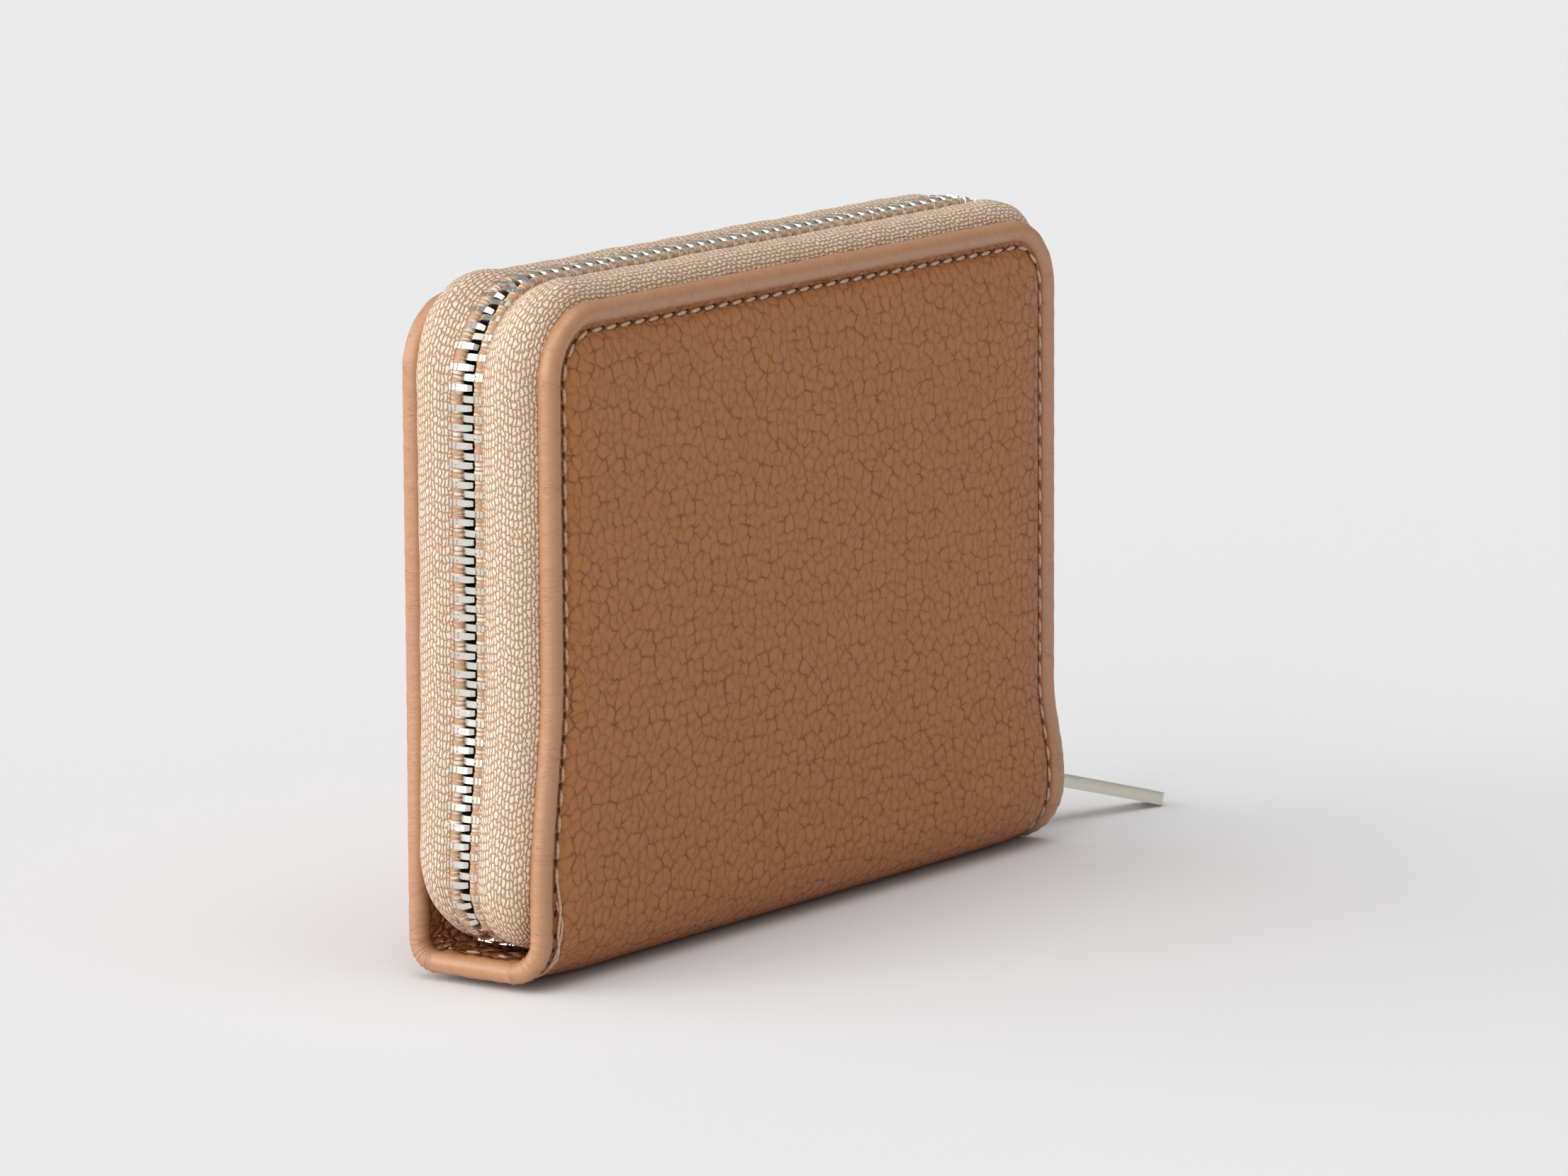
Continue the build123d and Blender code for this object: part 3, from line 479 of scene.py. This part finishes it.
thread = waxed("waxed_thread", (0.70, 0.46, 0.31, 1))
# A near-black bead sunk in each needle hole is painted shade.
dark_hole_paint = waxed("painted_hole_shade", (0.045, 0.012, 0.005, 1))
seam_legs = cover_legs(seam_inset)
seam_length = length_of(seam_legs)
foot = seam_inset - half_width
stitch_size, hole_size = (1.05, 0.27, 0.25), (0.5, 0.3, 0.16)
for side, name in ((-1, "front"), (1, "rear")):
    bm, hole_shade_beads = bmesh.new(), bmesh.new()
    count = int((seam_length - 18) / stitch_pitch)
    spare = (seam_length - count * stitch_pitch) / 2
    for number in range(count + 1):
        for made, beyond, out, size in ((bm, 0, -0.68, stitch_size), (hole_shade_beads, stitch_pitch / 2, -0.92, hole_size)):
            along = spare + number * stitch_pitch + beyond
            x, up, heading = way_round(along, (foot, 0.0), math.pi / 2, seam_legs)
            torn_off = made is bm and x < 0 and up < 24
            if not torn_off:
                stitched(made, (x, up, out), heading + 0.1, size)
    for number in range(5):
        place = (3.75 - half_width, 1.5 + stitch_pitch * number, -2.95)
        stitched(bm, place, math.pi / 2 + 0.3, (0.6, 0.17, 0.2))
    ends = ((0, 25, -0.7), (0.3, 21, -0.2), (-0.1, 17.5, -0.4), (0.45, 13, -0.1), (0.05, 8, -0.3), (0.15, 2, -0.5))
    strand(bm, [(foot + x, up, out) for x, up, out in ends], 0.19)
    ends = ((0, 22, -0.7), (0.6, 19, -0.2), (0.15, 15, -0.35), (-0.1, 11.5, -0.2), (0.25, 9, -0.7))
    strand(bm, [(foot + x, up, out) for x, up, out in ends], 0.17)
    for made, what, material, slot in (
        (bm, "seam_thread", thread, "thread"), (hole_shade_beads, "needle_hole_shade", dark_hole_paint, "leather"),
    ):
        folded(made, side)
        slouch(made)
        seam = piece(f"{name}_{what}", made, material, slot, "spine", f"{name}_cover")
        if made is bm:
            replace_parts(seam, f"{name}_stitches")

# Zip tape.
# Woven polyester, 6 mm of herringbone with a ribbed band at the teeth and a hard cord along its
# edge, sewn in behind the binding. It bulges past the rim, and its tail turns in over the spine.
zip_legs = ((10.9, 8.5), (63.5, 13.0), (95.7, 10.0), (77.2, 0))
zip_start = (-40.0, 6.1)
zip_length = length_of(zip_legs)
tooth_pitch = 2.5
cord_inner, cord_share = 0.55, 0.5


def woven(name, high, low):
    look = Finish(bpy.data.materials.new(name))
    cut = look.node("UVMap", settings={"uv_map": "cut"})
    wander = look.node("TexNoise", "Color", i0=cut, Scale=1.3, Detail=2.0)
    wander = look.node("VectorMath", settings={"operation": "SCALE"}, i0=wander, Scale=0.8)
    place = look.node("VectorMath", settings={"operation": "ADD"}, i0=cut, i1=wander)
    along = look.node("SeparateXYZ", "X", i0=place)
    across = look.node("SeparateXYZ", "Y", i0=place)
    column = (across / 0.5).maths("FLOOR")
    zigzag = column.maths("PINGPONG", 4.0)
    slipped = look.node("TexWhiteNoise", "Value", {"noise_dimensions": "1D"}, W=column)
    float_end = (along / 1.12 + zigzag * 0.3 + slipped * 0.3).maths("FRACT")
    yarn = ((across / 0.5).maths("FRACT") * math.pi).maths("SINE")
    float_top = (float_end * math.pi).maths("SINE")
    herringbone = (yarn ** 0.7) * (float_top ** 0.6)
    rib = ((along / 0.6).maths("FRACT") * math.pi).maths("SINE")
    ribbed = 1 - across.step(1.3, 1.6)
    weave = herringbone * (1 - ribbed) + rib * yarn * ribbed
    fuzz = look.node("TexNoise", "Fac", i0=cut, Scale=7.0, Detail=3.0)
    uneven = look.node("TexNoise", "Fac", i0=cut, Scale=1.1, Detail=2.0)
    soil = look.node("TexNoise", "Fac", i0=cut, Scale=0.08, Detail=2.0)
    # Painted shade: the hollows between the yarns take the darker colour, the raised floats the tape's own pale
    # colour.
    tone = look.mixed(weave.step(0.15, 0.85) * 0.9 + fuzz * 0.15, low, high)
    tone = look.mixed(soil.step(0.35, 0.7) * 0.1, tone, low)
    relief = weave * (uneven * 0.14 + 0.14) + fuzz * 0.04
    return look.set(Base_Color=tone, Roughness=fuzz * 0.15 + 0.7, Normal=look.raised(relief))


def round_the_rim(bm, side):
    """Takes a strip, whose X is its length, Y how far from the middle it lies and Z out, round the rim."""
    for vertex in bm.verts:
        along, across, out = vertex.co
        x, z, heading = way_round(along, zip_start, math.pi, zip_legs)
        vertex.co = (x - out * math.sin(heading), side * across, z + out * math.cos(heading))
    slouch(bm, zip_part=True)


def parted(along):
    """How far each tape stands off from the middle where it enters the slider."""
    return 1.75 * eased((along - zip_length + 10.5) / 4)


tape_line = (
    (2.2, 0.55), (3.1, 0.95), (4.3, 1.38), (5.6, 1.55), (6.9, 1.42),
    (8.1, 0.9), (9.0, 0.1), (9.55, -0.9), (9.75, -2.4), (9.75, -4.6),
)
tape_width = sum((Vector(b) - Vector(a)).length for a, b in zip(tape_line, tape_line[1:]))


def across_tape(cloth):
    """Where a point, so many millimetres from the cord's edge on the flat tape, lies across and out."""
    for a, b in zip(tape_line, tape_line[1:]):
        step = (Vector(b) - Vector(a)).length
        if cloth <= step:
            return Vector(a).lerp(Vector(b), cloth / step)
        cloth -= step
    return Vector(tape_line[-1])


# The darker colour is painted shade for the hollows of the weave; the faint random soiling also leans towards it.
polyester = woven("herringbone_tape", (0.87, 0.70, 0.555, 1), (0.47, 0.27, 0.145, 1))
for side, name in ((-1, "front"), (1, "rear")):
    stagger = tooth_pitch / 2 if side > 0 else 0
    bm = bmesh.new()
    bmesh.ops.create_grid(bm, x_segments=340, y_segments=26, size=1)
    for vertex in bm.verts:
        vertex.co = (zip_length * (vertex.co.x + 1) / 2, tape_width * (vertex.co.y + 1) / 2, 0)
    keep_cut(bm)
    for vertex in bm.verts:
        along = vertex.co.x
        across, out = across_tape(vertex.co.y)
        full = eased((along - 8) / 16) * eased((zip_length - 10 - along) / 14)
        narrow = (0.62 if side > 0 else 0.2) * eased((27 - along) / 14)
        narrow += 0.12 * eased((along - zip_length + 24) / 14)
        mouth = parted(along) * eased((9 - across) / 6)
        swell = 0.09 * math.sin(along * 0.31 + side) * math.sin(along * 0.083)
        swell += 0.05 * math.sin(along * 0.9 + across)
        crown = max(out - 0.55, 0) * (0.45 + 0.55 * full) + min(out, 0.55)
        on_top = eased((along - 92) / 16) * eased((212 - along) / 10)
        sunk = (0.85 if side < 0 else 0.1) * on_top
        crown -= sunk * eased((crown - 0.1) / 0.9) * eased((8.8 - across) / 2)
        round_corner = 1.25 * math.sin(math.pi * min(max((along - 86) / 26, 0), 1)) ** 2
        crown += round_corner * eased((across - 3) / 4)
        vertex.co.y = 2.2 + (across - 2.2) * (1 - narrow) + mouth
        vertex.co.z = crown + swell * eased((across - 2.4) / 3)
    bmesh.ops.smooth_vert(bm, verts=bm.verts, factor=0.5, use_axis_y=True, use_axis_z=True)
    round_the_rim(bm, side)
    bmesh.ops.recalc_face_normals(bm, faces=bm.faces)
    tape = piece(f"{name}_tape", bm, polyester, "zip_tape", "spine", f"{name}_cover")
    walled(tape, 0.0005)
    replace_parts(tape, *(f"{name}_zip_tape{part}" for part in ("", "_right", "_tail", "_end")))
    zip_length / 1000

    bm = bmesh.new()
    bmesh.ops.create_grid(bm, x_segments=460, y_segments=10, size=1)
    for vertex in bm.verts:
        vertex.co = (zip_length * (vertex.co.x + 1) / 2, cord_inner + cord_share * (vertex.co.y + 1) / 2, 0)
    keep_cut(bm)
    for vertex in bm.verts:
        along, around = vertex.co.x, (vertex.co.y - cord_inner) / cord_share * 2 * math.pi
        pinched = 0.72 + 0.1 * math.cos(2 * math.pi * (along - stagger) / tooth_pitch)
        across = 1.8 + parted(along) + 1.15 * pinched * math.cos(around)
        vertex.co = (along, across, 0.72 + pinched * math.sin(around))
    bmesh.ops.remove_doubles(bm, verts=bm.verts, dist=0.005)
    round_the_rim(bm, side)
    bmesh.ops.recalc_face_normals(bm, faces=bm.faces)
    piece(f"{name}_tape_cord", bm, polyester, "zip_tape", "spine", f"{name}_cover")

# Zip teeth.
# Nickel-plated brass, stamped and clamped over the cord one by one, 2.5 mm apart on each tape and
# half a step apart across them. Two ridged legs, a neck and a head that slopes to its tip.


def plated(name, base, rough, scratch=1.0):
    look = Finish(bpy.data.materials.new(name))
    place = look.node("TexCoord", "Object")
    wear = look.node("TexNoise", "Fac", i0=place, Scale=700.0, Detail=3.0)
    brushed = look.node("Mapping", Vector=place, Scale=(400, 4000, 1500))
    marks = look.node("TexNoise", "Fac", i0=brushed, Scale=1.0)
    tone = look.mixed(wear * 0.4, base, deeper(base, 0.82))
    return look.set(
        Base_Color=tone, Metallic=1.0, Roughness=wear * 0.14 + (rough - 0.07),
        Normal=look.raised(marks * 0.004 * scratch + wear * 0.012),
    )


nickel = plated("bright_nickel", (0.80, 0.775, 0.70, 1), 0.2)
tooth_form = (
    (2.82, 0.34, 1.20, -0.3), (2.68, 0.42, 1.52, -0.42), (2.32, 0.42, 1.58, -0.45), (2.2, 0.34, 1.22, -0.45),
    (2.08, 0.42, 1.55, -0.45), (1.72, 0.42, 1.55, -0.45), (1.55, 0.31, 1.18, -0.3), (1.38, 0.44, 1.62, -0.25),
    (0.2, 0.45, 1.64, -0.2), (-0.25, 0.44, 1.46, -0.15), (-0.8, 0.38, 1.1, 0.1),
)


def add_tooth(bm, along):
    """One tooth, grown from the ends of its legs to the tip of its head."""
    across, half, top, under = tooth_form[0]
    start = Matrix.Translation((along, across, (top + under) / 2)) @ Matrix.Rotation(math.pi / 2, 4, "X")
    shape = Matrix.Diagonal((half, (top - under) / 2, 1, 1))
    corners = bmesh.ops.create_grid(bm, x_segments=1, y_segments=1, size=1, matrix=start @ shape)["verts"]
    face = corners[0].link_faces[0]
    for across, half, top, under in tooth_form[1:]:
        middle = sum(v.co.z for v in face.verts) / 4
        grown = bmesh.ops.extrude_face_region(bm, geom=[face])["geom"]
        face = next(item for item in grown if isinstance(item, bmesh.types.BMFace))
        for vertex in face.verts:
            level = top if vertex.co.z > middle else under
            vertex.co = (along + math.copysign(half, vertex.co.x - along), across, level)


for side, name in ((-1, "front"), (1, "rear")):
    bm = bmesh.new()
    stagger = tooth_pitch / 2 if side > 0 else 0
    last = zip_length - 5.2
    for number in range(1, int((last - stagger) / tooth_pitch) + 1):
        add_tooth(bm, number * tooth_pitch + stagger)
    for vertex in bm.verts:
        home = round((vertex.co.x - stagger) / tooth_pitch) * tooth_pitch + stagger
        x, z, heading = way_round(home, zip_start, math.pi, zip_legs)
        ahead = Vector((math.cos(heading), 0, math.sin(heading)))
        out = Vector((-math.sin(heading), 0, math.cos(heading)))
        lean = 0.05 * math.sin(home * 1.7 + side)
        place = Vector((x, 0, z)) + (vertex.co.x - home + lean * vertex.co.z) * ahead
        place += (vertex.co.z - 0.3 * abs(lean)) * out
        vertex.co = (place.x, side * vertex.co.y, place.z)
    slouch(bm, zip_part=True)
    bmesh.ops.recalc_face_normals(bm, faces=bm.faces)
    teeth = piece(f"{name}_tooth_row", bm, nickel, "zip_metal", "spine", f"{name}_cover")
    for polygon in teeth.data.polygons:
        polygon.use_smooth = False
    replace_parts(teeth, f"{name}_teeth", f"{name}_teeth_right", f"{name}_teeth_tail")

# Slider, bridge, stops and pull.
# Die-cast zinc, plated like the teeth, with every edge tumbled round; the flat bar of a pull is
# brushed and plated a paler champagne. The slider is at the foot of the right-hand side.


def from_cad(node):
    """The CAD piece in millimetres, with the triangles of each flat face joined."""
    bm = bmesh.new()
    bm.from_mesh(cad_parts[node].data)
    bmesh.ops.scale(bm, vec=(1000, 1000, 1000), verts=bm.verts)
    bmesh.ops.remove_doubles(bm, verts=bm.verts, dist=0.002)
    bmesh.ops.dissolve_limit(bm, angle_limit=math.radians(2), verts=bm.verts, edges=bm.edges)
    return bm


def tumbled(node, edge):
    """The CAD piece with its sharp edges rounded."""
    bm = from_cad(node)
    sharp = [e for e in bm.edges if len(e.link_faces) == 2 and e.calc_face_angle() > math.radians(35)]
    bmesh.ops.bevel(
        bm, geom=sharp, affect="EDGES", offset=edge, offset_type="OFFSET", segments=2, profile=0.5, material=-1,
        clamp_overlap=True,
    )
    return bm


casting = plated("cast_nickel", (0.84, 0.82, 0.77, 1), 0.24)
champagne = plated("champagne_nickel", (0.78, 0.745, 0.64, 1), 0.36, 4.0)
for node, edge, body, material, slot in (
    ("slider_body", 0.22, "zip_slider", casting, "slider_metal"),
    ("slider_bridge", 0.14, "zip_slider", casting, "slider_metal"),
    ("pull", 0.55, "zip_pull", champagne, "pull_metal"),
    ("coin_slider_body", 0.12, "coin_slider", casting, "slider_metal"),
    ("coin_slider_bridge", 0.12, "coin_slider", casting, "slider_metal"),
    ("coin_pull", 0.2, "coin_pull", champagne, "pull_metal"),
    ("mouth_teeth", 0.08, "spine", nickel, "zip_metal"),
    ("top_stops", 0.08, "spine", nickel, "zip_metal"),
    ("coin_zip_stops", 0.06, "spine", nickel, "zip_metal"),
):
    bm = tumbled(node, edge)
    if node == "pull":
        for vertex in bm.verts:
            out = min(max((vertex.co.x - 63) / 30, 0), 1)
            vertex.co.x -= 0.7 * eased(2 * out - 1)
            vertex.co.z -= 0.5 * (1 - out)
    made = piece(f"{node}_tumbled", bm, material, slot, body)
    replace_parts(made, node)

bm = tumbled("bottom_stop", 0.08)
slouch(bm, zip_part=True)
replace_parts(piece("bottom_stop_tumbled", bm, nickel, "zip_metal", "spine"), "bottom_stop")

# Lining.
# Coarsely creased leather, one skin in each cover that meets the other over the spine's soft
# filler, with a stiff board behind it in the cover. The filler stops short of the left end.
lining_edge = half_width - 2.6
# The second colour is the painted shade in the creases.
lining = pebbled("creased_lining", (0.50, 0.2, 0.075, 1), (0.09, 0.02, 0.008, 1), cell=2.2, depth=2.4)
for side, name in ((-1, "front"), (1, "rear")):
    bm = skin(60, 70, lining_edge, height - 2.6 + rise)
    keep_cut(bm)
    for vertex in bm.verts:
        x, up = vertex.co.xy
        low = eased((20 - up) / 12) * eased((-40 - x) / 8)
        sag = 0.35 * math.sin(math.pi * min(max((x + lining_edge) / 12, 0), 1)) + 0.2
        crease = 0.22 * math.sin(2.1 * up + 0.9 * x) + 0.14 * math.sin(1.3 * x - 3.7 * up)
        vertex.co.z = -2.3 - low * (sag + crease)
    folded(bm, side)
    slouch(bm)
    bmesh.ops.reverse_faces(bm, faces=bm.faces)
    inner = piece(f"{name}_lining_skin", bm, lining, "lining", "spine", f"{name}_cover")
    walled(inner, 0.0004)
    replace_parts(inner, f"{name}_cover_lining", "spine_lining")


def softened(node, step=3.0):
    """The CAD piece, cut into bands so that it can settle with the leather."""
    bm = from_cad(node)
    for axis, reach in ((2, 96), (0, 60)):
        for number in range(int(-reach / step), int(reach / step) + 1):
            where, way = Vector(), Vector()
            where[axis], way[axis] = number * step + 0.13, 1
            bmesh.ops.bisect_plane(bm, geom=[*bm.verts, *bm.edges, *bm.faces], plane_co=where, plane_no=way)
    layer = bm.loops.layers.uv.new("cut")
    for face in bm.faces:
        for loop in face.loops:
            loop[layer].uv = (loop.vert.co.x, loop.vert.co.z)
    return bm


def felted(name, base, dark, scale):
    look = Finish(bpy.data.materials.new(name))
    place = look.node("TexCoord", "Object")
    fibres = look.node("TexNoise", "Fac", i0=place, Scale=scale, Detail=5.0)
    clumps = look.node("TexNoise", "Fac", i0=place, Scale=scale / 12, Detail=2.0)
    tone = look.mixed(fibres * 0.6 + clumps * 0.3, base, dark)
    return look.set(Base_Color=tone, Roughness=0.9, Normal=look.raised(fibres * 0.12))


board = felted("grey_board", (0.42, 0.33, 0.22, 1), (0.28, 0.2, 0.13, 1), 1500.0)
felt = felted("white_felt", (0.62, 0.56, 0.47, 1), (0.45, 0.4, 0.33, 1), 1200.0)
for name in ("front", "rear"):
    bm = softened(f"{name}_cover_board", 6.0)
    slouch(bm)
    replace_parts(piece(f"{name}_stiffener", bm, board, "board", f"{name}_cover"), f"{name}_cover_board")
bm = softened("spine_filler", 6.0)
bmesh.ops.bisect_plane(
    bm, geom=[*bm.verts, *bm.edges, *bm.faces], plane_co=(-40, 0, 0), plane_no=(-1, 0, 0), clear_outer=True,
)
bmesh.ops.holes_fill(bm, edges=[edge for edge in bm.edges if edge.is_boundary])
slouch(bm)
felt_pad = piece("spine_felt", bm, felt, "filler", "spine")
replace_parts(felt_pad, "spine_filler")

# Card pockets, coin pocket and gussets.
# Thin split leather, darker than the lining: three stepped pockets sewn into each cover, and a
# zipped pocket between them on a strip of web, joined to the covers by one fold at each corner.
# The second colour is the painted shade in the creases.
split = pebbled("split_leather", (0.25, 0.105, 0.055, 1), (0.11, 0.04, 0.02, 1), cell=1.3, depth=0.4)
for side, name in ((-1, "front"), (1, "rear")):
    gusset_fold = ((0, side * 0.003, 0), (0, side * 0.0102, 0))
    for number in (1, 2, 3):
        node = f"{name}_card_pocket_{number}"
        bm = softened(node, 6.0)
        slouch(bm)
        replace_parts(piece(f"{node}_leather", bm, split, "lining", f"{name}_cover"), node)
    for hand in ("left", "right"):
        node = f"{name}_{hand}_gusset"
        bm = softened(node)
        slouch(bm)
        bodies = ("spine", f"{name}_cover")
        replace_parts(piece(f"{node}_fold", bm, split, "lining", *bodies, fold=gusset_fold, smooth=False), node)
for part in ("front_wall", "rear_wall", "left_end", "right_end", "floor", "web"):
    node = f"coin_pocket_{part}"
    bm = softened(node, 6.0)
    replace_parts(piece(f"{node}_leather", bm, split, "lining", "spine"), node)
coin_tape = felted("coin_tape", (0.7, 0.5, 0.36, 1), (0.5, 0.3, 0.2, 1), 1800.0)
for node, material in (
    ("coin_zip_front_tape", coin_tape), ("coin_zip_rear_tape", coin_tape),
    ("coin_zip_front_teeth", nickel), ("coin_zip_rear_teeth", nickel),
):
    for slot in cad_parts[node].material_slots:
        slot.material = material
